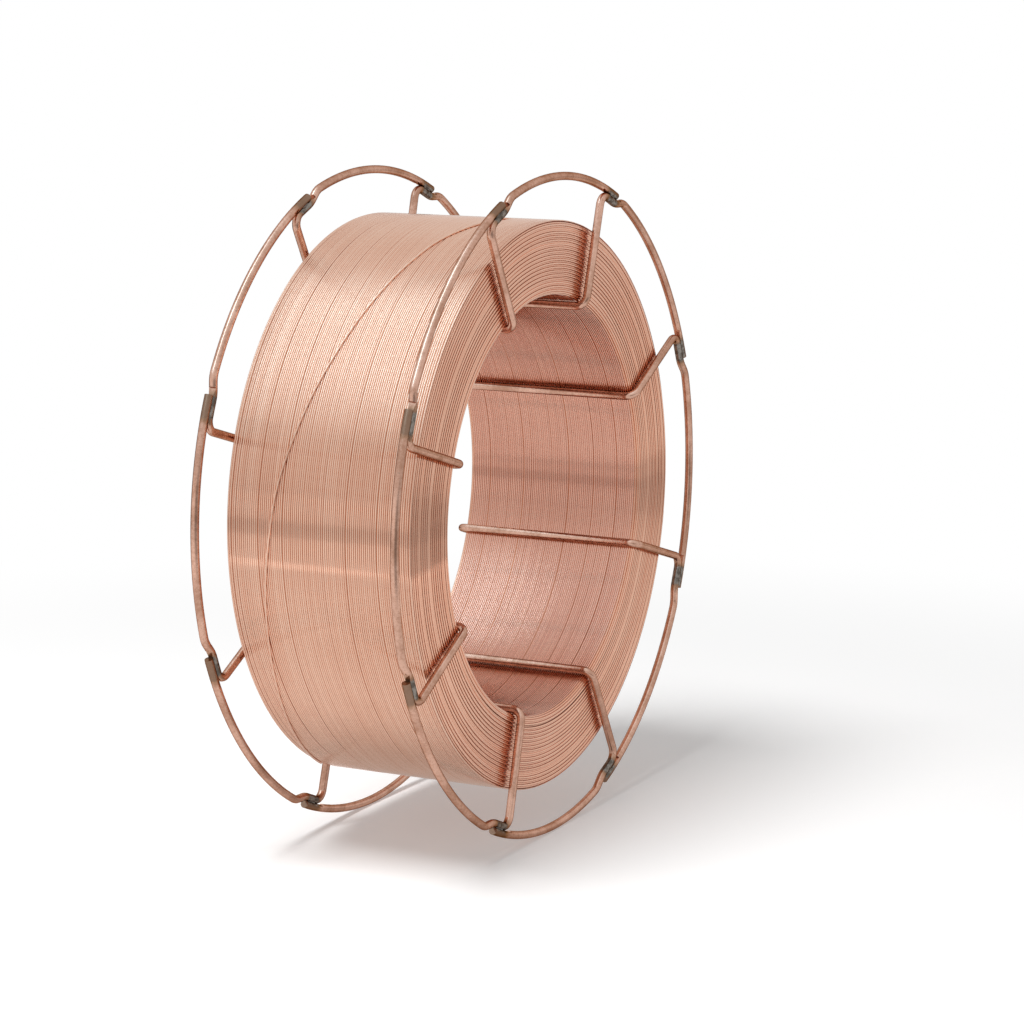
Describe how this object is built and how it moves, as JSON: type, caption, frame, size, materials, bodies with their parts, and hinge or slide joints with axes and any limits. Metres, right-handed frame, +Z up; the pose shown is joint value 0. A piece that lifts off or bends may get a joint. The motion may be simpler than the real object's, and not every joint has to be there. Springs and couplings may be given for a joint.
{
  "type": "spool of welding wire",
  "caption": "Round wire basket spool, open through the middle, wound with copper-coated solid welding wire for a wire feeder.",
  "frame": {"origin": "centre of the spool, on its axis and midway between its two rims", "axes": "+Y along the spool's axis, +Z up as it stands on its rims"},
  "size_m": [0.2992, 0.1, 0.2992],
  "materials": {
    "welding_wire": "bright copper-coated, fine parallel turns",
    "basket_wire": "dull copper-coated, grey and scorched at the welds"
  },
  "bodies": {
    "root": {"wire_coil": "welding_wire", "basket_wire_1": "basket_wire", "basket_wire_2": "basket_wire", "basket_wire_3": "basket_wire", "basket_wire_4": "basket_wire", "basket_wire_5": "basket_wire", "basket_wire_6": "basket_wire", "basket_wire_7": "basket_wire", "basket_wire_8": "basket_wire"}
  },
  "joints": []
}
